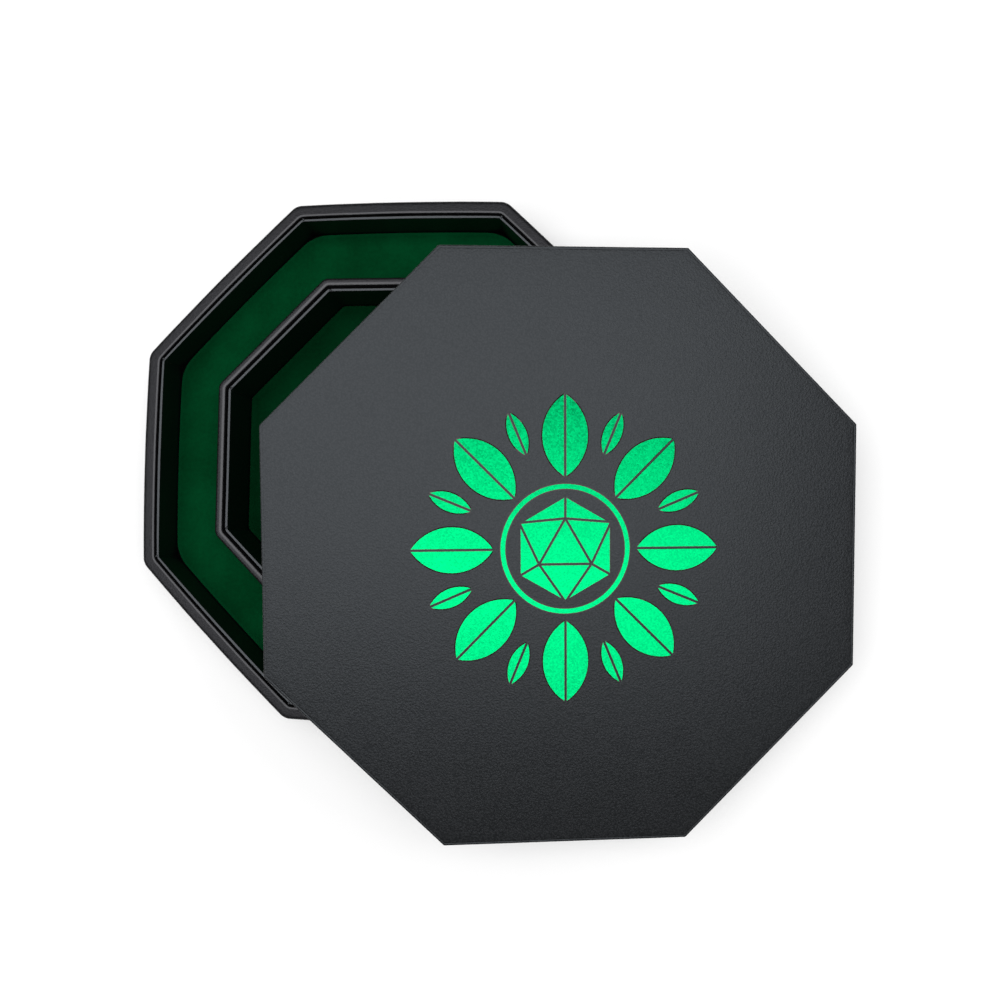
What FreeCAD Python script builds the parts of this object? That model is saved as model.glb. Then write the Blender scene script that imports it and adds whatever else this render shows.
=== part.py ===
import FreeCAD, Part
import math
import os

os.makedirs("parts", exist_ok=True)

# Eight-sided dice tray with a telescoping lid. Sizes are in millimetres, +Z is up.
# The origin is the tray's centre on the table. The lid lies half off the tray: it
# leans over the rim, and one corner of its skirt is down on the table.

# Tray: outer sizes
tray_width = 292.0             # across flats, at the middle of the sides
tray_height = 34.0
side_bow = 1.1                 # how far the middle of a side stands out past its ends
tray_corner_radius = 8.0
rim_outer_round = 2.2
rim_inner_round = 1.4

# Tray: what the wall is made of, from outside in
leather_thickness = 0.8
wall_board_thickness = 5.7
groove_width = 1.2
groove_depth = 7.0
liner_thickness = 1.4
liner_drop = 0.3               # the liners end this far under the rim
liner_bevel = 0.4

# Tray: bottom and floors
bottom_sheet_thickness = 1.0
base_board_thickness = 3.0
leather_turn_under = 12.0
sheet_gap = 0.2
felt_thickness = 0.8
rolling_pad_thickness = 1.2
staging_depth = 19.5           # rim to staging floor
floor_gap = 0.2
staging_corner_radius = 20.0
rolling_corner_radius = 5.0

# Ring that divides the rolling area from the staging area round it
staging_width = 33.0           # clear width between the tray's liners and the ring
ring_board_thickness = 2.8
ring_groove_width = 1.7
ring_drop = 0.5
ring_corner_radius = 6.0
ring_round = 1.4

# Lid
lid_gap = 1.5                  # to each side of the tray, when it is on
lid_lining_thickness = 0.5
lid_board_thickness = 2.9
lid_top_board_thickness = 2.6
lid_depth = 30.0
lid_corner_radius = 1.2
lid_edge_round = 0.8
lid_foot_round = 0.3

# Foil print on the lid: a rosette of leaves round a many-sided die
foil_thickness = 0.1
foil_line = 1.3                # width of the bare lines in the print
die_radius = 27.0
die_face_radius = 15.5
print_ring_radius = 33.0
print_ring_width = 2.4
leaf_start = 37.0
leaf_tip = 78.0
leaf_half_width = 11.5
leaf_belly = 0.45              # where a leaf is widest, as a share of its length
bud_start = 52.0
bud_tip = 74.0
bud_half_width = 4.6

# Where the lid lies
lid_right = 90.6
lid_front = 44.1
lid_turn = 1.2                 # degrees
lid_seat_gap = 0.35            # to the tray's rim
lid_table_gap = 0.2

sides = 8
sector = 360.0 / sides
half_sector = math.radians(sector / 2)
up = FreeCAD.Vector(0, 0, 1)
centre = FreeCAD.Vector(0, 0, 0)
tolerance = 0.001

# Half widths across flats, tray wall from outside in
tray_half = tray_width / 2
board_half = tray_half - leather_thickness
board_back_half = board_half - wall_board_thickness
groove_half = board_back_half - leather_thickness
liner_back_half = groove_half - groove_width
liner_half = liner_back_half - liner_thickness

# Half widths across flats, ring from outside in
ring_half = liner_half - staging_width
ring_board_half = ring_half - leather_thickness
ring_board_back_half = ring_board_half - ring_board_thickness
ring_groove_half = ring_board_back_half - leather_thickness
ring_liner_back_half = ring_groove_half - ring_groove_width
rolling_half = ring_liner_back_half - liner_thickness

# Half widths across flats, lid skirt from inside out
lid_inner_half = tray_half + lid_gap
lid_board_back_half = lid_inner_half + lid_lining_thickness
lid_board_half = lid_board_back_half + lid_board_thickness
lid_half = lid_board_half + leather_thickness

# Heights in the tray
base_bottom = bottom_sheet_thickness
base_top = base_bottom + base_board_thickness
leather_bottom = base_bottom - leather_thickness
groove_floor = tray_height - groove_depth
board_top = tray_height - leather_thickness
liner_top = tray_height - liner_drop
ring_top = tray_height - ring_drop
ring_groove_floor = ring_top - groove_depth
staging_top = tray_height - staging_depth
riser_top = staging_top - felt_thickness
pad_top = base_top + rolling_pad_thickness
rolling_top = pad_top + felt_thickness

# Heights in the lid, from the foot of its skirt
lid_board_foot = leather_thickness
lid_ceiling = lid_depth
lid_top_board_foot = lid_ceiling + lid_lining_thickness
lid_top_board_top = lid_top_board_foot + lid_top_board_thickness
lid_top = lid_top_board_top + leather_thickness

# A bowed side is an arc. All arcs of one side have the same centre, this far
# behind the tray's centre, so that inner and outer faces stay parallel.
chord = 2 * tray_half * math.tan(half_sector)
bow_radius = chord ** 2 / (8 * side_bow) + side_bow / 2
bow_centre = bow_radius - tray_half


def polar(radius, degrees, height=0.0):
    angle = math.radians(degrees)
    return FreeCAD.Vector(radius * math.cos(angle), radius * math.sin(angle), height)


def straight_outline(half_width, height):
    reach = half_width / math.cos(half_sector)
    corners = [polar(reach, sector * (i + 0.5), height) for i in range(sides)]
    return Part.makePolygon(corners + corners[:1])


def bowed_outline(half_width, height):
    radius = bow_centre + half_width
    across = bow_centre * math.sin(half_sector)
    reach = math.sqrt(radius ** 2 - across ** 2) - bow_centre * math.cos(half_sector)
    arcs = []
    for i in range(sides):
        start = polar(reach, sector * (i - 0.5), height)
        middle = polar(half_width, sector * i, height)
        end = polar(reach, sector * (i + 0.5), height)
        arcs.append(Part.Arc(start, middle, end).toShape())
    return Part.Wire(arcs)


def is_upright(edge):
    return abs(edge.tangentAt(edge.FirstParameter).z) > 0.9


def lies_at(edge, height):
    middle = edge.valueAt((edge.FirstParameter + edge.LastParameter) / 2)
    points = [vertex.Point for vertex in edge.Vertexes] + [middle]
    return all(abs(point.z - height) < tolerance for point in points)


def block(outline, half_width, low, high, corner_radius=0.0, top_round=0.0):
    """An eight-sided block, with its upright corners and its top edge rounded."""
    solid = Part.Face(outline(half_width, low)).extrude(up * (high - low))
    if corner_radius > 0:
        solid = solid.makeFillet(corner_radius, [e for e in solid.Edges if is_upright(e)])
    if top_round > 0:
        solid = solid.makeFillet(top_round, [e for e in solid.Edges if lies_at(e, high)])
    return solid


def edge_cutter(outline, half_width, into, top, size, is_round, angle):
    """What rounding or bevelling takes off a top edge along one side. The material lies
    outside the half width where into is 1, and inside it where into is -1."""
    low = FreeCAD.Vector(half_width, 0, top - size)
    over = FreeCAD.Vector(half_width + into * size, 0, top)
    clear = half_width - into * size
    corners = [over, over + up * size, FreeCAD.Vector(clear, 0, top + size),
               FreeCAD.Vector(clear, 0, top - size), low]
    lines = [Part.makeLine(corners[i], corners[i + 1]) for i in range(len(corners) - 1)]
    if is_round:
        bend = FreeCAD.Vector(half_width + into * size * (1 - math.sqrt(0.5)), 0,
                              top - size * (1 - math.sqrt(0.5)))
        lines.append(Part.Arc(low, bend, over).toShape())
    else:
        lines.append(Part.makeLine(low, over))
    face = Part.Face(Part.Wire(lines))
    if outline is bowed_outline:
        bow_axis = FreeCAD.Vector(-bow_centre, 0, 0)
        spread = math.degrees(chord / bow_radius)
        face.rotate(bow_axis, up, -spread / 2)
        cutter = face.revolve(bow_axis, up, spread)
    else:
        face.translate(FreeCAD.Vector(0, -half_width, 0))
        cutter = face.extrude(FreeCAD.Vector(0, 2 * half_width, 0))
    cutter.rotate(centre, up, angle)
    return cutter


def eight_sides(tube, low, high):
    """Cut a tube into its eight sides, mitred at the corners."""
    pieces = []
    for i in range(sides):
        corners = [centre, polar(tray_width, sector * (i - 0.5)), polar(tray_width, sector * (i + 0.5))]
        wedge = Part.Face(Part.makePolygon(corners + corners[:1])).extrude(up * (high - low))
        wedge.translate(up * low)
        pieces.append(tube.common(wedge).Solids[0])
    return pieces


def rounded_sides(tube, low, high, outline, inner_half, radius):
    """The eight sides of a tube, with their inner top edges rounded."""
    pieces = []
    for i, piece in enumerate(eight_sides(tube, low, high)):
        piece = piece.cut(edge_cutter(outline, inner_half, 1, high, radius, True, sector * i))
        pieces.append(piece.Solids[0])
    return pieces


def liners(outline, back_half, inner_half, high):
    """Eight thin boards, with both top edges bevelled."""
    tube = block(outline, back_half, base_top, high)
    tube = tube.cut(block(outline, inner_half, base_top, high))
    pieces = []
    for i, piece in enumerate(eight_sides(tube, base_top, high)):
        for half_width, into in ((inner_half, 1), (back_half, -1)):
            cutter = edge_cutter(outline, half_width, into, high, liner_bevel, False, sector * i)
            piece = piece.cut(cutter)
        pieces.append(piece.Solids[0])
    return pieces


def joined(pieces):
    return pieces[0].multiFuse(pieces[1:])


def save(name, shape):
    if shape.ShapeType == "Compound" and len(shape.Solids) == 1:
        shape = shape.Solids[0]
    print(name, len(shape.Solids), shape.isValid(), round(shape.Volume / 1000, 2))
    shape.exportStep("parts/" + name + ".step")


def save_each(name, shapes):
    for number, shape in enumerate(shapes, 1):
        save(name + "_" + str(number), shape)


def bottom_sheet():
    return block(straight_outline, tray_half - leather_turn_under - sheet_gap, 0, base_bottom)


def base_board():
    return block(bowed_outline, board_half, base_bottom, base_top,
                 tray_corner_radius - leather_thickness)


def wall_boards():
    """Eight boards with a rebate along the top, which makes the groove."""
    tube = block(bowed_outline, board_half, base_top, board_top,
                 tray_corner_radius - leather_thickness, rim_outer_round - leather_thickness)
    tube = tube.cut([block(bowed_outline, board_back_half, groove_floor, board_top),
                     block(bowed_outline, liner_back_half, base_top, groove_floor)])
    return rounded_sides(tube, base_top, board_top, bowed_outline, board_back_half,
                         rim_inner_round - leather_thickness)


def tray_wrap():
    """Leather over the outside and the rim, down into the groove and under the base."""
    skin = block(bowed_outline, tray_half, leather_bottom, tray_height,
                 tray_corner_radius, rim_outer_round)
    skin = skin.cut([block(bowed_outline, groove_half, groove_floor, tray_height),
                     block(bowed_outline, liner_back_half, base_top, groove_floor),
                     block(straight_outline, tray_half - leather_turn_under, leather_bottom, base_bottom),
                     base_board()])
    skins = rounded_sides(skin, leather_bottom, tray_height, bowed_outline, groove_half,
                          rim_inner_round)
    return joined([side.cut(board) for side, board in zip(skins, wall_boards())])


def ring_boards():
    """The ring's boards, with a rebate like the wall's."""
    top = ring_top - leather_thickness
    tube = block(straight_outline, ring_board_half, base_top, top,
                 ring_corner_radius - leather_thickness, ring_round - leather_thickness)
    tube = tube.cut([block(straight_outline, ring_board_back_half, ring_groove_floor, top),
                     block(straight_outline, ring_liner_back_half, base_top, ring_groove_floor)])
    return rounded_sides(tube, base_top, top, straight_outline, ring_board_back_half,
                         ring_round - leather_thickness)


def ring_wrap():
    """Leather over the ring's outside and top, and down into its groove."""
    skin = block(straight_outline, ring_half, base_top, ring_top, ring_corner_radius, ring_round)
    skin = skin.cut([block(straight_outline, ring_groove_half, ring_groove_floor, ring_top),
                     block(straight_outline, ring_liner_back_half, base_top, ring_groove_floor)])
    skins = rounded_sides(skin, base_top, ring_top, straight_outline, ring_groove_half, ring_round)
    return joined([side.cut(board) for side, board in zip(skins, ring_boards())])


def staging_layer(low, high, corner_radius=0.0):
    """A floor layer between the tray wall's liners and the ring."""
    layer = block(bowed_outline, liner_half - floor_gap, low, high, corner_radius)
    return layer.cut(block(straight_outline, ring_half + floor_gap, low, high,
                           ring_corner_radius + floor_gap))


def rolling_layer(low, high, corner_radius=0.0):
    return block(straight_outline, rolling_half - floor_gap, low, high, corner_radius)


def lid_wrap():
    """Leather over the lid's top, down its skirt and under the skirt's foot."""
    skin = block(straight_outline, lid_half, 0, lid_top, lid_corner_radius, lid_edge_round)
    skin = skin.makeFillet(lid_foot_round, [e for e in skin.Edges if lies_at(e, 0)])
    boards = block(straight_outline, lid_board_half, lid_board_foot, lid_top_board_top)
    mouth = block(straight_outline, lid_inner_half, 0, lid_board_foot)
    return skin.cut([boards, mouth])


def lid_side_boards():
    tube = block(straight_outline, lid_board_half, lid_board_foot, lid_top_board_foot)
    tube = tube.cut(block(straight_outline, lid_board_back_half, lid_board_foot, lid_top_board_foot))
    return eight_sides(tube, lid_board_foot, lid_top_board_foot)


def lid_top_board():
    return block(straight_outline, lid_board_half, lid_top_board_foot, lid_top_board_top)


def lid_side_lining():
    tube = block(straight_outline, lid_board_back_half, lid_board_foot, lid_ceiling)
    return tube.cut(block(straight_outline, lid_inner_half, lid_board_foot, lid_ceiling))


def lid_ceiling_lining():
    return block(straight_outline, lid_board_back_half, lid_ceiling, lid_top_board_foot)


def foil(wire):
    solid = Part.Face(wire).extrude(up * foil_thickness)
    solid.translate(up * lid_top)
    return solid


def facet(corners):
    """One face of the drawn die, drawn in by half a line on every edge."""
    edges = [(corners[1] - corners[2]).Length, (corners[2] - corners[0]).Length,
             (corners[0] - corners[1]).Length]
    around = sum(edges)
    middle = (corners[0] * edges[0] + corners[1] * edges[1] + corners[2] * edges[2]) / around
    area = (corners[1] - corners[0]).cross(corners[2] - corners[0]).Length / 2
    shrink = 1 - foil_line / 2 / (2 * area / around)
    inner = [middle + (corner - middle) * shrink for corner in corners]
    return foil(Part.makePolygon(inner + inner[:1]))


def die_figure():
    """The die seen face on: one face, its three neighbours and six more round them."""
    face = [polar(die_face_radius, 90 + 120 * i) for i in range(3)]
    rim = [polar(die_radius, 90 + 60 * i) for i in range(6)]
    facets = [facet(face)]
    for i in range(3):
        facets.append(facet([face[i], rim[2 * i + 1], face[(i + 1) % 3]]))
        facets.append(facet([face[i], rim[2 * i], rim[2 * i + 1]]))
        facets.append(facet([face[i], rim[2 * i - 1], rim[2 * i]]))
    return facets


def leaf(angle, start, tip, half_width, hand):
    """Half a leaf: a straight midrib and a curved edge on one side of it."""
    rib = hand * foil_line / 2
    foot = FreeCAD.Vector(start, rib, 0)
    point = FreeCAD.Vector(tip, rib, 0)
    belly = FreeCAD.Vector(start + (tip - start) * leaf_belly, hand * half_width, 0)
    wire = Part.Wire([Part.Arc(foot, belly, point).toShape(), Part.makeLine(point, foot)])
    wire.rotate(centre, up, angle)
    return foil(wire)


def lid_print():
    ring = Part.makeCylinder(print_ring_radius, foil_thickness)
    ring = ring.cut(Part.makeCylinder(print_ring_radius - print_ring_width, foil_thickness))
    ring.translate(up * lid_top)
    figures = die_figure() + [ring]
    for i in range(sides):
        for hand in (1, -1):
            figures.append(leaf(90 + sector * i, leaf_start, leaf_tip, leaf_half_width, hand))
            figures.append(leaf(90 + sector * (i + 0.5), bud_start, bud_tip, bud_half_width, hand))
    return Part.makeCompound([s for figure in figures for s in figure.Solids])


# The lid first stands level on the rim, over to one side. Its skirt then crosses the
# rim's top edge in two places, and it tips about the line through them until the
# farthest corner of the skirt is down on the table.
lid_centre = FreeCAD.Vector(lid_right, -lid_front, 0)
lid_level = tray_height + lid_seat_gap
rim_edge = bowed_outline(tray_half - rim_outer_round, 0)
skirt_edge = straight_outline(lid_inner_half, 0)
skirt_corners = straight_outline(lid_half, 0)
for outline in (skirt_edge, skirt_corners):
    outline.rotate(centre, up, lid_turn)
    outline.translate(lid_centre)
crossings = [pair[0] for pair in rim_edge.distToShape(skirt_edge)[1]]
tip_axis = (crossings[1] - crossings[0]).normalize()
downhill = tip_axis.cross(up)
if (lid_centre - crossings[0]).dot(downhill) < 0:
    tip_axis = -tip_axis
    downhill = -downhill
farthest = max((vertex.Point - crossings[0]).dot(downhill) for vertex in skirt_corners.Vertexes)
lid_tilt = math.degrees(math.asin((lid_level - lid_table_gap) / farthest))


def lay_lid(shape):
    """Move a piece from the lid's own frame to where the lid lies."""
    placed = shape.copy()
    placed.rotate(centre, up, lid_turn)
    placed.translate(lid_centre + up * lid_level)
    placed.rotate(crossings[0] + up * lid_level, -tip_axis, -lid_tilt)
    return placed


save("bottom_sheet", bottom_sheet())
save("base_board", base_board())
save_each("tray_wall_board", wall_boards())
save("tray_wrap", tray_wrap())
save_each("tray_liner", liners(bowed_outline, liner_back_half, liner_half, liner_top))
save("staging_riser", staging_layer(base_top, riser_top))
save("staging_felt", staging_layer(riser_top, staging_top, staging_corner_radius))
save_each("ring_wall_board", ring_boards())
save("ring_wrap", ring_wrap())
save_each("ring_liner", liners(straight_outline, ring_liner_back_half, rolling_half,
                               ring_top - liner_drop))
save("rolling_pad", rolling_layer(base_top, pad_top))
save("rolling_felt", rolling_layer(pad_top, rolling_top, rolling_corner_radius))

save("lid_top_board", lay_lid(lid_top_board()))
save_each("lid_side_board", [lay_lid(board) for board in lid_side_boards()])
save("lid_wrap", lay_lid(lid_wrap()))
save("lid_ceiling_lining", lay_lid(lid_ceiling_lining()))
save("lid_side_lining", lay_lid(lid_side_lining()))
save("lid_print", lay_lid(lid_print()))
print("lid tilt", round(lid_tilt, 3), "crossings", len(crossings))
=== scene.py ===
import bmesh
import bpy
import math
from mathutils import Matrix, Vector, noise


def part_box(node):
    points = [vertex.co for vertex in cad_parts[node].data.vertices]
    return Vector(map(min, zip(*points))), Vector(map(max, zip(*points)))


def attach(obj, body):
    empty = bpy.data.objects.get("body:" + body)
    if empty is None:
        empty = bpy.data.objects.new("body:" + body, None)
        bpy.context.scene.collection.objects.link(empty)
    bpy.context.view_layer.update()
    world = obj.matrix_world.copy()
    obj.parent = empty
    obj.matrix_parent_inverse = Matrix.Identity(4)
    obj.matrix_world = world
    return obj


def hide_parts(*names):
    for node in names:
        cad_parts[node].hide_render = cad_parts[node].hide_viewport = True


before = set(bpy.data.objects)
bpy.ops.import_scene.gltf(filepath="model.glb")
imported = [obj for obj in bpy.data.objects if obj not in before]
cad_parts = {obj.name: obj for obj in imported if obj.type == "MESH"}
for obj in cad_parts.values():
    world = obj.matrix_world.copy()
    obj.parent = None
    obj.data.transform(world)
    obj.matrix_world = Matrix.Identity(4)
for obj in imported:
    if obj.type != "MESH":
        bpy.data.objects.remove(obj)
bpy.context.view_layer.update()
noise.seed_set(1)         # unseeded, noise_vector is another one on each run

mm = 0.001
sides = 8
fullTurn = 2 * math.pi
sector = fullTurn / sides
halfSector = sector / 2
floorGap = 0.2 * mm       # between a velvet floor's edge and the wall beside it
tolerance = 0.01 * mm     # points closer than this count as level, or as on the axis

# How finely the pieces are divided
sideSteps = 24            # spin steps in one side
cornerShare = 0.34        # share of them that bends round the corners
roundSteps = 6            # steps in a rounded edge of a profile
weldWithin = 0.001 * mm
sharpAngle = 40           # degrees at an edge, past which it stays sharp

mixSockets = {"factor": 0, "one": 6, "other": 7, "result": 2}     # of a Mix node set to colour


# A Wire is one output socket, and sums and products of wires add their Math nodes
class Wire:
    def __init__(self, finish, socket):
        self.finish = finish
        self.socket = socket

    def maths(self, operation, *terms):
        return self.finish.node("ShaderNodeMath", {"operation": operation}, dict(enumerate(terms)))

    def __add__(self, other):
        return self.maths("ADD", self, other)

    def __radd__(self, other):
        return self.maths("ADD", other, self)

    def __mul__(self, other):
        return self.maths("MULTIPLY", self, other)

    def __rmul__(self, other):
        return self.maths("MULTIPLY", other, self)


# A Finish fills the node tree of its owner, a material or the world
class Finish:
    def __init__(self, owner):
        self.owner = owner
        owner.use_nodes = True
        self.tree = owner.node_tree
        self.tree.nodes.clear()

    def node(self, kind, settings=None, inputs=None, output=0):
        made = self.tree.nodes.new(kind)
        for name, value in (settings or {}).items():
            setattr(made, name, value)
        for name, value in (inputs or {}).items():
            if isinstance(value, Wire):
                self.tree.links.new(value.socket, made.inputs[name])
            else:
                made.inputs[name].default_value = value
        return Wire(self, made.outputs[output] if made.outputs else None)

    def place(self):
        return self.node("ShaderNodeTexCoord", output="Object")

    def noise(self, place, size, detail=3, rough=0.5):
        inputs = {"Vector": place, "Scale": 1 / size, "Detail": detail, "Roughness": rough}
        return self.node("ShaderNodeTexNoise", inputs=inputs)

    def ranged(self, value, low, high, fromLow=0.0, fromHigh=1.0):
        inputs = {"Value": value, "From Min": fromLow, "From Max": fromHigh,
                  "To Min": low, "To Max": high}
        return self.node("ShaderNodeMapRange", inputs=inputs)

    def mixed(self, factor, one, other):
        inputs = {mixSockets["factor"]: factor, mixSockets["one"]: one, mixSockets["other"]: other}
        return self.node("ShaderNodeMix", {"data_type": "RGBA"}, inputs, mixSockets["result"])

    def bumped(self, height, depth, strength):
        inputs = {"Height": height, "Distance": depth, "Strength": strength}
        return self.node("ShaderNodeBump", inputs=inputs)

    def principled(self, **inputs):
        named = {name.replace("_", " "): value for name, value in inputs.items()}
        shader = self.node("ShaderNodeBsdfPrincipled", inputs=named)
        self.node("ShaderNodeOutputMaterial", inputs={"Surface": shader})
        return self.owner


def grey(level):
    return (level, level, level, 1)


# Finishes

leatherLook = {
    "low": (0.0045, 0.0047, 0.0050, 1), "high": (0.0128, 0.0132, 0.0139, 1),
    # The lightest colour here is a painted highlight, mixed in where a mesh marks its edges for it
    "paintedHighlight": (0.072, 0.073, 0.076, 1), "paintedHighlightShare": 0.6,
    "pebble": 0.95 * mm, "drift": 0.6, "softness": 0.6,      # the grain's cells, and how they wander
    "fine": 0.45 * mm, "mottle": 22 * mm, "depth": 0.075 * mm, "strength": 0.8,
    "smooth": 0.29, "dull": 0.45, "gloss": 0.32, "glossTint": (0.84, 0.92, 1.0, 1),
}


def leatherette(name, look):
    f = Finish(bpy.data.materials.new(name))
    place = f.place()
    wander = f.node("ShaderNodeTexNoise",
                    inputs={"Vector": place, "Scale": look["drift"] / look["pebble"]}, output="Color")
    moved = f.node("ShaderNodeVectorMath", {"operation": "MULTIPLY_ADD"},
                   {0: wander, 1: (look["pebble"],) * 3, 2: place})
    cells = f.node("ShaderNodeTexVoronoi", {"feature": "SMOOTH_F1"},
                   {"Vector": moved, "Scale": 1 / look["pebble"], "Smoothness": look["softness"]})
    pebbles = f.ranged(cells, 1, 0, fromLow=0.15, fromHigh=0.75)
    fine = f.noise(place, look["fine"], rough=0.6)
    mottle = f.noise(place, look["mottle"])
    speckle = f.ranged(pebbles * 0.5 + fine * 0.35 + mottle * 0.15, 0, 1, fromLow=0.35, fromHigh=0.65)
    grain = f.mixed(speckle, look["low"], look["high"])
    # a painted highlight: the lighter colour mixed in where the mesh's attribute marks it
    edge = f.node("ShaderNodeAttribute", {"attribute_name": "paintedHighlight"}, output="Fac")
    colour = f.mixed(edge * look["paintedHighlightShare"], grain, look["paintedHighlight"])
    roughness = f.ranged(0.15 * mottle + 0.85 * fine, look["smooth"], look["dull"],
                         fromLow=0.3, fromHigh=0.7)
    normal = f.bumped(pebbles * 0.7 + fine * 0.3, look["depth"], look["strength"])
    return f.principled(Base_Color=colour, Roughness=roughness, Normal=normal,
                        Specular_IOR_Level=look["gloss"], Specular_Tint=look["glossTint"])


velvetLook = {
    "low": (0.0001, 0.0280, 0.0076, 1), "high": (0.0002, 0.0445, 0.0124, 1),
    # edge is the colour of a painted highlight along the walls
    "edge": (0.0012, 0.070, 0.022, 1), "edgeHighlightShare": 0.6,
    "fibre": 0.35 * mm, "clump": 2.1 * mm, "brush": 26 * mm, "depth": 0.22 * mm, "strength": 0.6,
    "rough": 0.92, "gloss": 0.02, "sheen": 0.12, "sheenRough": 0.4, "sheenTint": (0.0, 0.40, 0.13, 1),
}


def velvet(name, look):
    f = Finish(bpy.data.materials.new(name))
    place = f.place()
    brushed = f.noise(place, look["brush"], rough=0.55)
    fibres = f.noise(place, look["fibre"], detail=2, rough=0.7)
    clumps = f.noise(place, look["clump"], detail=2, rough=0.6)
    streaks = f.ranged(0.65 * brushed + 0.35 * clumps, 0, 1, fromLow=0.35, fromHigh=0.65)
    nap = f.mixed(streaks, look["low"], look["high"])
    # a painted highlight along the walls, where the mesh's attribute marks it
    edge = f.node("ShaderNodeAttribute", {"attribute_name": "pileHighlight"}, output="Fac")
    colour = f.mixed(edge * look["edgeHighlightShare"], nap, look["edge"])
    normal = f.bumped(0.6 * fibres + 0.4 * clumps, look["depth"], look["strength"])
    return f.principled(Base_Color=colour, Roughness=look["rough"], Normal=normal,
                        Sheen_Weight=look["sheen"], Sheen_Roughness=look["sheenRough"],
                        Sheen_Tint=look["sheenTint"], Specular_IOR_Level=look["gloss"])


foilLook = {
    "base": (0.0, 0.10, 0.030, 1), "light": (0.001, 0.90, 0.275, 1), "metal": 0.35,
    "flake": 0.8 * mm, "mottle": 9 * mm, "depth": 0.05 * mm, "strength": 0.7,
    "smooth": 0.28, "dull": 0.5, "fadeFoot": -0.06, "fadeTop": 0.035,      # the fade runs to the back
}


def foil(name, look):
    f = Finish(bpy.data.materials.new(name))
    place = f.place()
    cells = f.node("ShaderNodeTexVoronoi", {"feature": "F1"},
                   {"Vector": place, "Scale": 1 / look["flake"]}, output="Color")
    flakes = f.node("ShaderNodeSeparateColor", inputs={"Color": cells})
    mottle = f.noise(place, look["mottle"], rough=0.6)
    along = f.node("ShaderNodeSeparateXYZ", inputs={"Vector": place}, output="Y")
    fade = f.ranged(along, 1, 0, look["fadeFoot"], look["fadeTop"])
    colour = f.mixed(0.35 * flakes + 0.15 * mottle + 0.5 * fade, look["base"], look["light"])
    roughness = f.ranged(flakes, look["smooth"], look["dull"])
    normal = f.bumped(flakes, look["depth"], look["strength"])
    return f.principled(Base_Color=colour, Roughness=roughness, Metallic=look["metal"],
                        Normal=normal, Specular_IOR_Level=0.0)


inkLook = {
    "low": (0.010, 0.0015, 0.003, 1), "high": (0.030, 0.004, 0.008, 1),
    "mottle": 1.5 * mm, "rough": 0.45,
}


def ink(name, look):
    f = Finish(bpy.data.materials.new(name))
    colour = f.mixed(f.noise(f.place(), look["mottle"]), look["low"], look["high"])
    return f.principled(Base_Color=colour, Roughness=look["rough"])


paperLook = {
    "low": grey(0.012), "high": grey(0.024), "fibre": 0.8 * mm, "cloud": 18,      # in fibres
    "depth": 0.05 * mm, "strength": 0.5, "smooth": 0.72, "dull": 0.9, "gloss": 0.4,
}


def paper(name, look):
    f = Finish(bpy.data.materials.new(name))
    place = f.place()
    fibre = f.noise(place, look["fibre"], detail=5, rough=0.65)
    cloud = f.noise(place, look["fibre"] * look["cloud"])
    colour = f.mixed(0.5 * fibre + 0.5 * cloud, look["low"], look["high"])
    normal = f.bumped(fibre, look["depth"], look["strength"])
    roughness = f.ranged(fibre, look["smooth"], look["dull"])
    return f.principled(Base_Color=colour, Roughness=roughness, Normal=normal,
                        Specular_IOR_Level=look["gloss"])


lidSkin = leatherette("lid_leatherette", leatherLook)
# The tray's and ring's leather is the lid's leatherette painted darker: painted shade on the rim, with a
# brighter painted highlight along the groove
traySkin = leatherette("tray_leatherette_painted_shade", {
    **leatherLook, "low": (0.0034, 0.0035, 0.0039, 1), "high": (0.0096, 0.0098, 0.0106, 1),
    "paintedHighlight": (0.115, 0.116, 0.120, 1), "paintedHighlightShare": 0.75,
    "gloss": 0.24, "glossTint": (0.92, 0.92, 1.0, 1),
})
# The liners' leather is the same leatherette painted darker still: painted shade on the inner walls
linerLeather = leatherette("liner_leatherette", {
    **leatherLook, "low": (0.0015, 0.0018, 0.0020, 1), "high": (0.0035, 0.0040, 0.0043, 1),
    "paintedHighlightShare": 0.35, "pebble": 0.8 * mm, "depth": 0.08 * mm,
    "smooth": 0.25, "dull": 0.37, "gloss": 0.38,
})
stagingVelvet = velvet("staging_velvet", velvetLook)
# The rolling velvet is the staging velvet painted darker: painted shade in the deeper well, with a
# weaker painted highlight along its wall
rollingVelvet = velvet("rolling_velvet_painted_shade", {
    **velvetLook, "low": (0.0001, 0.017, 0.0049, 1), "high": (0.0002, 0.0275, 0.0078, 1),
    "edgeHighlightShare": 0.25,
})
greenFoil = foil("green_foil", foilLook)
maroonInk = ink("maroon_outline", inkLook)
baseSheet = paper("black_base_sheet", {
    **paperLook, "low": grey(0.010), "high": grey(0.022), "fibre": 0.5 * mm, "depth": 0.06 * mm,
})
liningPaper = paper("black_lining_paper", paperLook)
# The riser and pad are painted near black with almost no gloss: painted shade in the gaps at the velvet
# floors' rounded corners
paintedShadeCard = paper("black_card_painted_shade", {
    **paperLook, "low": grey(0.0005), "high": grey(0.0015), "fibre": 0.9 * mm, "gloss": 0.02,
})
fibreBoard = paper("fibre_board", {
    **paperLook, "low": (0.22, 0.15, 0.09, 1), "high": (0.36, 0.26, 0.16, 1),
    "fibre": 1.2 * mm, "depth": 0.08 * mm,
})
print("finishes made")


# Shapes: a profile of a few points is rounded, spun round, and bent into an eight-sided ring

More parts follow.
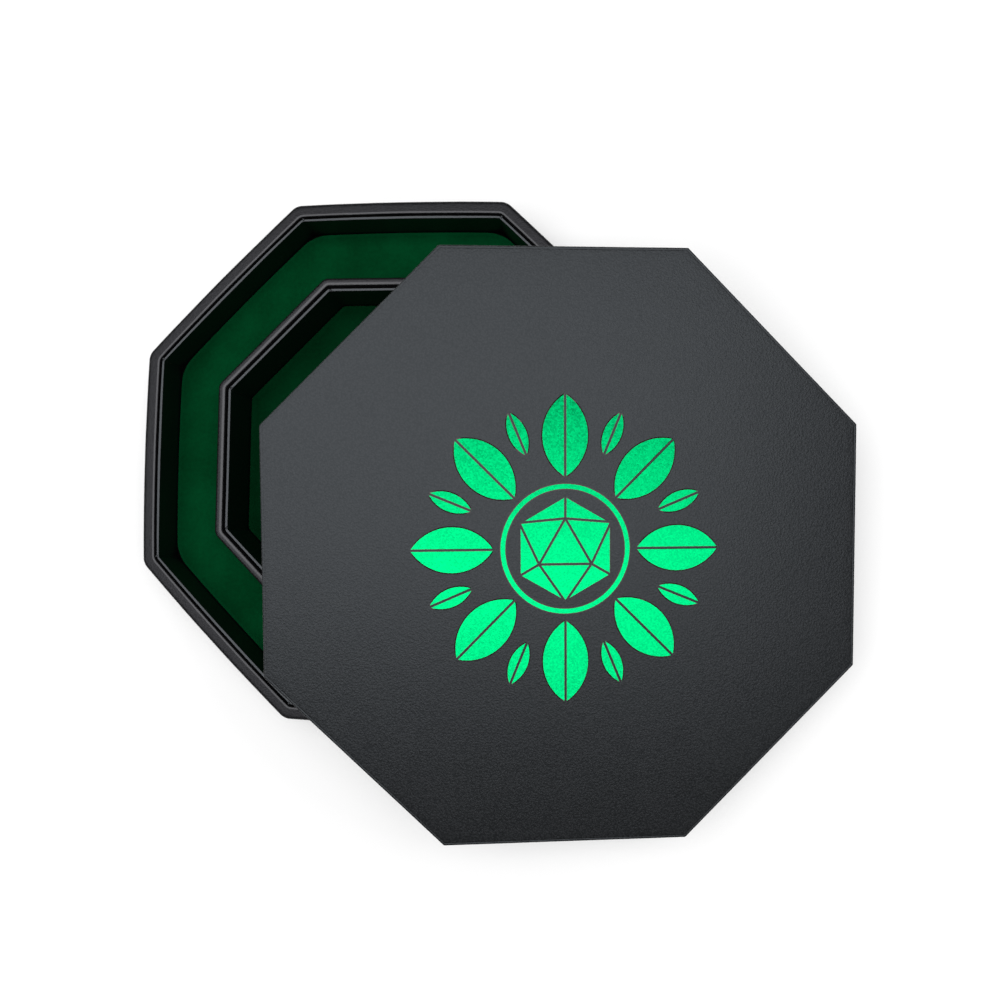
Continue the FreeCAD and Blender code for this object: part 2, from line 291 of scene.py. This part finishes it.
def spunRing(points, closed=False, longest=3 * mm, fromAngle=0.0, sweep=fullTurn):
    # points are (half width, height, rounding), outside going up
    bm = bmesh.new()
    verts = [bm.verts.new((across, 0, height)) for across, height, rounding in points]
    pairs = list(zip(verts, verts[1:] + verts[:1]))
    for one, other in pairs if closed else pairs[:-1]:
        if one.co.x > 0 or other.co.x > 0:        # the axis has no edge
            bm.edges.new((one, other))
    for vert, (across, height, rounding) in zip(verts, points):
        if rounding > 0:
            bmesh.ops.bevel(bm, geom=[vert], offset=rounding, offset_type="OFFSET", segments=roundSteps,
                            profile=0.5, affect="VERTICES", material=-1)
    for edge in [e for e in bm.edges if e.calc_length() > 1.5 * longest]:
        cuts = int(edge.calc_length() / longest)
        bmesh.ops.subdivide_edges(bm, edges=[edge], cuts=cuts)
    whole = sweep == fullTurn
    steps = round(sideSteps * sweep / sector)
    bmesh.ops.rotate(bm, cent=(0, 0, 0), matrix=Matrix.Rotation(fromAngle, 3, "Z"), verts=bm.verts)
    bmesh.ops.spin(bm, geom=bm.verts[:] + bm.edges[:], cent=(0, 0, 0), axis=(0, 0, 1), angle=sweep,
                   steps=steps, use_merge=whole, use_duplicate=False)
    bmesh.ops.remove_doubles(bm, verts=bm.verts, dist=weldWithin)
    return bm


def bendToSides(bm, cornerRadius, bow=None):
    # A bow draws a side's ends in by "rise", "span" away from its middle. It starts at the half
    # width "from" and grows over the next "over".
    roundest = 0.7                # a corner's radius is at most this share of the half width
    for vert in bm.verts:
        half = math.hypot(vert.co.x, vert.co.y)
        if half < tolerance:
            continue
        angle = math.atan2(vert.co.y, vert.co.x)
        side = round(angle / sector)
        share = (angle - side * sector) / halfSector
        radius = min(cornerRadius(half), roundest * half)
        straight = (half - radius) * math.tan(halfSector)
        if abs(share) <= 1 - cornerShare:
            out = half
            along = straight * abs(share) / (1 - cornerShare)
        else:
            turn = halfSector * (abs(share) - 1 + cornerShare) / cornerShare
            out = half - radius + radius * math.cos(turn)
            along = straight + radius * math.sin(turn)
        shrink = 1.0
        if bow:
            rise = bow["rise"] * min(1.0, max(0.0, (half - bow["from"]) / bow["over"]))
            shrink = 1 - rise * (along / bow["span"]) ** 2 / half
        point = Vector((out, math.copysign(along, share), 0)) * shrink
        vert.co.xy = (Matrix.Rotation(side * sector, 3, "Z") @ point).xy


def blended(low, high, lowValue, highValue):
    # a value that changes evenly from one half width to another
    def at(half):
        share = min(1.0, max(0.0, (half - low) / (high - low)))
        return lowValue + (highValue - lowValue) * share
    return at


def wavered(bm, amount, size, seed):
    # hand-made unevenness, the same on every run
    slant = 3.7                   # keeps the shifts of two seeds off one line of the noise
    for vert in bm.verts:
        vert.co += noise.noise_vector(vert.co / size + Vector((seed, slant * seed, 0))) * amount


def piece(bm, name, body, material, nodes=(), matrix=None):
    if matrix:
        bmesh.ops.transform(bm, matrix=matrix, verts=bm.verts)
    bmesh.ops.recalc_face_normals(bm, faces=bm.faces)
    for face in bm.faces:
        face.smooth = True
    mesh = bpy.data.meshes.new(name)
    bm.to_mesh(mesh)
    bm.free()
    mesh.set_sharp_from_angle(angle=math.radians(sharpAngle))
    mesh.materials.append(material)
    obj = bpy.data.objects.new(name, mesh)
    bpy.context.collection.objects.link(obj)
    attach(obj, body)
    if nodes:
        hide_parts(*nodes)
    return obj


# Measures from the frame

def reach(node):
    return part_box(node)[1].x


def top(node):
    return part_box(node)[1].z


def foot(node):
    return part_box(node)[0].z


baseTop = top("base_board")
trayBow = {"rise": 1.1 * mm, "span": reach("tray_wrap") * math.tan(halfSector),
           "from": reach("bottom_sheet"), "over": 3 * mm}

# What the tray's and the ring's leather have alike
skinLook = {
    "thick": 0.75 * mm, "grooveDepth": 6.2 * mm, "grooveThick": 0.5 * mm, "floorRound": 0.3 * mm,
    "paintedHighlightDeep": 0.3 * mm, "longest": 1.1 * mm,
}


def skinRing(s, below, inside, grooveEnd):
    # A closed ring: up the outside, over the rim, down into the groove, and back inside the
    # leather. The points of below come before that, and those of inside after it.
    thick = s["thick"]
    grooveFloor = s["top"] - s["grooveDepth"]
    grooveWall = s["grooveHalf"] + s["grooveThick"]
    shoulder = s["grooveHalf"] + s["shoulder"]
    edge = s["top"] - s["slope"]
    bm = spunRing([
        *below, (s["half"], s["top"], s["outerRound"]), (shoulder, s["top"], s["shoulderRound"]),
        (s["grooveHalf"], edge, s["innerRound"]), (s["grooveHalf"], grooveFloor, s["floorRound"]),
        (grooveEnd, grooveFloor, 0), (grooveEnd, grooveFloor - thick, 0),
        (grooveWall, grooveFloor - thick, 0), (grooveWall, edge - thick, 0),
        (shoulder, s["top"] - thick, 0),
        (s["half"] - thick, s["top"] - thick, s["outerRound"] - thick), *inside,
    ], closed=True, longest=s["longest"])
    paintedHighlight = bm.verts.layers.float.new("paintedHighlight")
    for vert in bm.verts:         # the edge along the groove is painted a little lighter: a painted highlight
        off = abs(vert.co.xy.length - s["grooveHalf"] - s["paintedHighlightIn"]) / s["paintedHighlightWide"]
        if vert.co.z > edge - s["paintedHighlightDeep"]:
            vert[paintedHighlight] = max(0.0, 1 - off ** 2)
    return bm


# Tray leather: over the wall and rim, down into the groove, and turned in under the base
trayLeather = {
    **skinLook, "half": reach("tray_wrap") - 0.06 * mm,       # leaves room for the unevenness
    "top": top("tray_wrap"), "foot": foot("tray_wrap"), "underHalf": reach("bottom_sheet") + 0.2 * mm,
    "outerRound": 2.0 * mm, "footRound": 1.0 * mm, "cornerRadius": 7.5 * mm,
    "grooveHalf": reach("tray_liner_1") + 1.5 * mm, "grooveCorner": 4.5 * mm, "innerRound": 0.18 * mm,
    "shoulder": 0.85 * mm, "shoulderRound": 0.2 * mm, "slope": 0.30 * mm,
    "paintedHighlightIn": 0.5 * mm, "paintedHighlightWide": 0.55 * mm,
    "pleat": 0.11 * mm, "pleatWide": 1.3 * mm, "pleatHigh": 0.15 * mm, "pleatReach": 9 * mm,
    "uneven": 0.10 * mm, "unevenSize": 24 * mm, "seed": 1,
}


def makeTrayLeather(s):
    insideFoot = s["foot"] + s["thick"]
    below = [(s["underHalf"], s["foot"], 0), (s["half"], s["foot"], s["footRound"])]
    inside = [(s["half"] - s["thick"], insideFoot, 0), (s["underHalf"], insideFoot, 0)]
    bm = skinRing(s, below, inside, reach("tray_liner_1"))
    bendToSides(bm, blended(s["grooveHalf"], s["half"], s["grooveCorner"], s["cornerRadius"]), trayBow)
    wavered(bm, s["uneven"], s["unevenSize"], s["seed"])
    for vert in bm.verts:         # pleats where the turned-in edge goes round a corner
        if vert.co.z > s["foot"] + s["pleatHigh"] or vert.co.xy.length < s["underHalf"]:
            continue
        angle = math.atan2(vert.co.y, vert.co.x) / sector
        offCorner = abs(angle - math.floor(angle) - 0.5) * sector * s["half"]
        if offCorner < s["pleatReach"]:
            fade = 1 - offCorner / s["pleatReach"]
            vert.co.z += s["pleat"] * math.cos(math.pi * offCorner / s["pleatWide"]) * fade
    piece(bm, "trayLeather", "tray", traySkin, ["tray_wrap"])


# Ring leather: a narrow bead between the two floors
ringLeather = {
    **skinLook, "half": reach("ring_wrap"), "top": top("ring_wrap"),
    "outerRound": 1.5 * mm, "cornerRadius": 6 * mm,
    "grooveHalf": reach("ring_liner_1") + 2.0 * mm, "grooveCorner": 3 * mm, "innerRound": 0.25 * mm,
    "shoulder": 1.4 * mm, "shoulderRound": 0.7 * mm, "slope": 0.40 * mm,
    "paintedHighlightIn": 0.65 * mm, "paintedHighlightWide": 0.9 * mm,
    "uneven": 0.08 * mm, "unevenSize": 20 * mm, "seed": 5,
}


def makeRingLeather(s):
    below = [(s["half"], baseTop, 0)]
    inside = [(s["half"] - s["thick"], baseTop, 0)]
    bm = skinRing(s, below, inside, reach("ring_liner_1"))
    bendToSides(bm, blended(s["grooveHalf"], s["half"], s["grooveCorner"], s["cornerRadius"]))
    wavered(bm, s["uneven"], s["unevenSize"], s["seed"])
    piece(bm, "ringLeather", "tray", traySkin, ["ring_wrap"])


# Liners: thin covered boards, mitred at the corners, with a knot of folded leather at each corner
linerLook = {
    "topRound": 0.26 * mm, "slope": 0.22 * mm, "endGap": 0.06 * mm, "paintedHighlightDeep": 0.1 * mm,
    "backCorner": 3.2 * mm, "faceCorner": 2.0 * mm,
    "knot": 0.85 * mm, "knotShape": (1.25, 0.8, 0.8), "knotTurn": 0.3, "knotPaintedHighlight": 0.7,
    "cornerIn": 0.4 * mm, "knotIn": 0.5 * mm, "knotShort": 1.2 * mm, "knotDrop": 0.35 * mm,
    "uneven": 0.07 * mm, "unevenSize": 18 * mm,
}


def makeLiner(number, node, face, bow, s, seed):
    back = reach(node + "_1")
    high = top(node + "_1")
    faceHigh = high - s["slope"]
    slant = math.tan(halfSector)
    bm = spunRing([
        (face, baseTop, 0), (face, faceHigh, s["topRound"]),
        (back, high, s["topRound"]), (back, baseTop, 0),
    ], closed=True, fromAngle=-halfSector, sweep=sector)
    paintedHighlight = bm.verts.layers.float.new("paintedHighlight")
    # the liner's top is painted lighter: a painted highlight
    for vert in bm.verts:
        vert[paintedHighlight] = 1.0 if vert.co.z > faceHigh - s["paintedHighlightDeep"] else 0.0
    ends = [e for e in bm.edges if e.is_boundary]
    bmesh.ops.holes_fill(bm, edges=ends, sides=0)
    bendToSides(bm, blended(face, back, s["faceCorner"], s["backCorner"]), bow)
    for vert in bm.verts:         # a hair's gap at each mitre
        vert.co.y -= s["endGap"] * (vert.co.y / (back * slant))
    knot = bmesh.ops.create_icosphere(bm, subdivisions=2, radius=s["knot"])["verts"]
    # the knot is painted lighter too: a painted highlight
    for vert in knot:
        vert[paintedHighlight] = s["knotPaintedHighlight"]
    corner = back - s["cornerIn"]
    knotPlace = (corner - s["knotIn"], corner * slant - s["knotShort"], high - s["knotDrop"])
    knotTurn = Matrix.Rotation(halfSector + s["knotTurn"], 3, "Z")
    bmesh.ops.scale(bm, vec=s["knotShape"], verts=knot)
    bmesh.ops.rotate(bm, cent=(0, 0, 0), matrix=knotTurn, verts=knot)
    bmesh.ops.translate(bm, vec=knotPlace, verts=knot)
    toSide = Matrix.Rotation((number - 1) * sector, 3, "Z")
    bmesh.ops.rotate(bm, cent=(0, 0, 0), matrix=toSide, verts=bm.verts)
    wavered(bm, s["uneven"], s["unevenSize"], seed + number)
    words = node.split("_")
    name = words[0] + words[1].capitalize() + str(number)
    piece(bm, name, "tray", linerLeather, [node + "_" + str(number)])


# Velvet floors
floorLook = {
    "edgeRound": 0.6 * mm, "topBand": 0.05 * mm, "pileHighlightWide": 1.2 * mm,
    "rollIn": 0.12 * mm, "rollWide": 2.5 * mm,
    "uneven": 0.10 * mm, "unevenSize": 17 * mm, "unevenSink": 0.35,
}
stagingFloor = {**floorLook, "outerCorner": 20 * mm, "innerCorner": 6.2 * mm, "longest": 1.6 * mm}
rollingFloor = {**floorLook, "corner": 5 * mm}


def raisedEdges(bm, walls, s, level):
    # the nap stands up a little along the walls, and the light it catches there is painted on: a painted
    # highlight in a lighter colour
    highlightLayer = bm.verts.layers.float.new("pileHighlight")
    for vert in bm.verts:
        if vert.co.z < level - s["topBand"]:
            continue
        half = math.hypot(vert.co.x, vert.co.y)
        gap = min(abs(half - wall) for wall in walls)
        vert[highlightLayer] = max(0.0, 1 - gap / s["pileHighlightWide"])
        vert.co.z += s["rollIn"] * math.exp(-(gap / s["rollWide"]) ** 2)
        vert.co.z += s["uneven"] * (noise.noise(vert.co / s["unevenSize"]) - s["unevenSink"])


def makeStagingVelvet(s):
    node = "staging_felt"
    outer = reach(node)
    inner = reach("ring_wrap") + floorGap
    low, high = foot(node), top(node)
    bm = spunRing([
        (inner, low, 0), (outer, low, 0), (outer, high, s["edgeRound"]), (inner, high, s["edgeRound"]),
    ], closed=True, longest=s["longest"])
    raisedEdges(bm, [inner, outer], s, high)
    bendToSides(bm, blended(inner, outer, s["innerCorner"], s["outerCorner"]),
                {**trayBow, "from": inner, "over": outer - inner})
    obj = piece(bm, "stagingVelvet", "tray", stagingVelvet, [node])


def makeRollingVelvet(s):
    node = "rolling_felt"
    outer = reach(node)
    low, high = foot(node), top(node)
    bm = spunRing([(0, low, 0), (outer, low, 0), (outer, high, s["edgeRound"]), (0, high, 0)])
    raisedEdges(bm, [outer], s, high)
    bendToSides(bm, lambda half: s["corner"])
    obj = piece(bm, "rollingVelvet", "tray", rollingVelvet, [node])


# The lid's own frame: +Z out of its top, +X through side board 1, height 0 at the skirt's foot
def boardCentre(number):
    corners = {tuple(round(c, 6) for c in v.co)
               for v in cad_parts["lid_side_board_" + str(number)].data.vertices}
    return sum((Vector(c) for c in corners), Vector()) / len(corners)


def lidFrame(boardFoot, boardTop):
    right, back, left, front = (boardCentre(number) for number in (1, 3, 5, 7))
    xAxis = (right - left).normalized()
    yAxis = (back - front).normalized()
    zAxis = xAxis.cross(yAxis)
    centre = (right + back + left + front) / 4
    origin = centre - zAxis * (boardFoot + boardTop) / 2
    turned = Matrix((xAxis, yAxis, zAxis)).transposed().to_4x4()
    return Matrix.Translation(origin) @ turned


# Lid leather: over the top, down the skirt, and turned in as a hem inside it
lidLeather = {
    "half": 151.65 * mm, "top": 33.88 * mm, "foot": 0.0, "thick": 0.76 * mm,
    "innerHalf": 147.45 * mm, "hem": 12 * mm, "hemThick": 0.5 * mm,
    "boardFoot": 0.8 * mm, "boardTop": 30.5 * mm,
    "edgeRound": 0.6 * mm, "footRound": 0.35 * mm, "insideRound": 0.3 * mm, "cornerRadius": 1.4 * mm,
    "creaseIn": 1.35 * mm, "creaseWide": 0.26 * mm, "creaseDeep": 0.08 * mm, "creaseCuts": 9,
    "longest": 4 * mm, "uneven": 0.04 * mm, "unevenSize": 26 * mm, "seed": 9,
}
lidMatrix = lidFrame(lidLeather["boardFoot"], lidLeather["boardTop"])


def makeLidLeather(s):
    crease = s["half"] - s["creaseIn"]
    creaseFrom = crease - 2 * s["creaseWide"]
    hemHalf = s["innerHalf"] + s["hemThick"]
    insideHalf = s["half"] - s["thick"]
    insideTop = s["top"] - s["thick"]
    insideFoot = s["foot"] + s["thick"]
    bm = spunRing([
        (s["innerHalf"], s["hem"], 0), (s["innerHalf"], s["foot"], s["footRound"]),
        (s["half"], s["foot"], s["footRound"]), (s["half"], s["top"], s["edgeRound"]),
        (creaseFrom, s["top"], 0), (0, s["top"], 0),
        (0, insideTop, 0), (insideHalf, insideTop, s["insideRound"]),
        (insideHalf, insideFoot, 0), (hemHalf, insideFoot, 0), (hemHalf, s["hem"], 0),
    ], closed=True, longest=s["longest"])
    band = {v for v in bm.verts
            if v.co.z > s["top"] - tolerance and v.co.xy.length > creaseFrom - tolerance}
    across = [e for e in bm.edges if band.issuperset(e.verts)
              and abs(e.verts[0].co.xy.length - e.verts[1].co.xy.length) > tolerance]
    bmesh.ops.subdivide_edges(bm, edges=across, cuts=s["creaseCuts"])
    for vert in bm.verts:         # a faint crease inside the top edge, where the leather beds down
        if vert.co.z > s["top"] - tolerance:
            gap = (vert.co.xy.length - crease) / s["creaseWide"]
            vert.co.z -= s["creaseDeep"] * math.exp(-gap * gap)
    bendToSides(bm, lambda half: s["cornerRadius"])
    wavered(bm, s["uneven"], s["unevenSize"], s["seed"])
    piece(bm, "lidLeather", "lid", lidSkin, ["lid_wrap"], lidMatrix)


# Outline of the print: the frame's foil figures, flattened and grown, show as a line round each
printOutline = {"wide": 0.55 * mm, "high": 0.035 * mm, "weldWithin": 0.002 * mm}


def makePrintOutline(s):
    bm = bmesh.new()
    bm.from_mesh(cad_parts["lid_print"].data)
    bmesh.ops.remove_doubles(bm, verts=bm.verts, dist=s["weldWithin"])
    bm.transform(lidMatrix.inverted())
    bm.normal_update()
    base = min(v.co.z for v in bm.verts)
    for vert in bm.verts:         # pushed out along the normals of the upright faces beside it
        out = sum((f.normal for f in vert.link_faces if abs(f.normal.z) < 0.5), Vector())
        out.z = 0
        if out.length > 0:
            vert.co += out.normalized() * s["wide"]
        vert.co.z = base + (s["high"] if vert.co.z > base + tolerance else 0.0)
    piece(bm, "printOutline", "lid", maroonInk, matrix=lidMatrix)


trayFace = reach("staging_felt") + floorGap
ringFace = reach("rolling_felt") + floorGap
makeTrayLeather(trayLeather)
makeRingLeather(ringLeather)
for number in range(1, sides + 1):
    makeLiner(number, "tray_liner", trayFace, trayBow, linerLook, seed=20)
    makeLiner(number, "ring_liner", ringFace, None, linerLook, seed=40)
print("tray leather and liners made")
makeStagingVelvet(stagingFloor)
makeRollingVelvet(rollingFloor)
print("velvet floors made")
makeLidLeather(lidLeather)
makePrintOutline(printOutline)
print("lid made")

nodeFinish = {
    "bottom_sheet": baseSheet, "lid_ceiling_lining": liningPaper, "lid_side_lining": liningPaper,
    "lid_print": greenFoil, "staging_riser": paintedShadeCard, "rolling_pad": paintedShadeCard,
}
for name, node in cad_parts.items():
    material = nodeFinish.get(name, fibreBoard if "board" in name else None)
    if material:
        for materialSlot in node.material_slots:
            materialSlot.material = material
print("frame nodes finished")


# Floor, light and camera

# The floor shows whiter than it is lit: by nearLift under the object, farLift past it, and
# distantLift more in the distance
studio = {
    "floorSize": 6.0, "floorColour": 0.84, "liftCentre": (0.05, -0.026, 0.0),
    "nearLift": 0.10, "nearReach": 0.20, "farLift": 0.27, "farReach": 0.30,
    "distantLift": 0.8, "distantFrom": 0.5, "distantTo": 1.4,
    "horizonLight": 0.058, "horizonTo": 0.12, "ceilingLight": 0.10, "ceilingFrom": 0.55,
    "boxSize": (2.38, 1.42), "boxPlace": (0.037, 0.079, 1.485), "boxTarget": (0.05, -0.03, 0.0),
    "boxTurn": -10.6, "boxPower": 34.1,
}


def makeFloor(s):
    bm = bmesh.new()
    bmesh.ops.create_grid(bm, x_segments=1, y_segments=1, size=s["floorSize"])
    mesh = bpy.data.meshes.new("floor")
    bm.to_mesh(mesh)
    bm.free()
    f = Finish(bpy.data.materials.new("floor"))
    seen = f.node("ShaderNodeLightPath", output="Is Camera Ray")
    glossy = f.node("ShaderNodeLightPath", output="Is Glossy Ray")
    away = f.node("ShaderNodeVectorMath", {"operation": "DISTANCE"},
                  {0: f.place(), 1: s["liftCentre"]}, "Value")
    around = f.ranged(away, s["nearLift"], s["farLift"], s["nearReach"], s["farReach"])
    white = around + f.ranged(away, 0, s["distantLift"], s["distantFrom"], s["distantTo"])
    lit = f.node("ShaderNodeBsdfDiffuse", inputs={"Color": grey(s["floorColour"])})
    lift = f.node("ShaderNodeEmission", inputs={"Color": grey(1.0), "Strength": (seen + glossy) * white})
    both = f.node("ShaderNodeAddShader", inputs={0: lit, 1: lift})
    f.node("ShaderNodeOutputMaterial", inputs={"Surface": both})
    mesh.materials.append(f.owner)
    floor = bpy.data.objects.new("floor", mesh)
    bpy.context.collection.objects.link(floor)


def makeWorld(s):
    world = bpy.data.worlds.new("studio")
    bpy.context.scene.world = world
    f = Finish(world)
    seen = f.node("ShaderNodeLightPath", output="Is Camera Ray")
    direction = f.node("ShaderNodeTexCoord", output="Generated")
    height = f.node("ShaderNodeSeparateXYZ", inputs={"Vector": direction}, output="Z")
    level = f.ranged(height, s["horizonLight"], s["ceilingLight"], s["horizonTo"], s["ceilingFrom"])
    white = f.mixed(seen, level, grey(1.0))
    background = f.node("ShaderNodeBackground", inputs={"Color": white, "Strength": 1.0})
    f.node("ShaderNodeOutputWorld", inputs={"Surface": background})


def makeSoftbox(s):
    lamp = bpy.data.lights.new("softbox", "AREA")
    lamp.shape = "RECTANGLE"
    lamp.size, lamp.size_y = s["boxSize"]
    lamp.energy = s["boxPower"]
    box = bpy.data.objects.new("softbox", lamp)
    box.location = s["boxPlace"]
    aim = Vector(s["boxTarget"]) - Vector(s["boxPlace"])
    turn = Matrix.Rotation(math.radians(s["boxTurn"]), 3, "Z")
    box.rotation_euler = (aim.to_track_quat("-Z", "Y").to_matrix() @ turn).to_euler()
    bpy.context.collection.objects.link(box)


view = {
    "place": (91.40 * mm, -31.82 * mm, 425.90 * mm), "tilt": (-1.65, -4.70, -0.93),
    "lens": 25.87, "sensor": 36.0, "nearest": 0.01,
}


def makeCamera(s):
    data = bpy.data.cameras.new("camera")
    data.lens = s["lens"]
    data.sensor_width = s["sensor"]
    data.clip_start = s["nearest"]
    camera = bpy.data.objects.new("camera", data)
    aboutX, aboutY, aboutZ = (Matrix.Rotation(math.radians(angle), 3, axis)
                              for angle, axis in zip(s["tilt"], "XYZ"))
    turned = (aboutX @ aboutY @ aboutZ).inverted().to_4x4()
    camera.matrix_world = Matrix.Translation(s["place"]) @ turned
    bpy.context.collection.objects.link(camera)
    bpy.context.scene.camera = camera


makeFloor(studio)
makeWorld(studio)
makeSoftbox(studio)
makeCamera(view)
bpy.context.scene.view_settings.view_transform = "Standard"
print("floor, light and camera made")
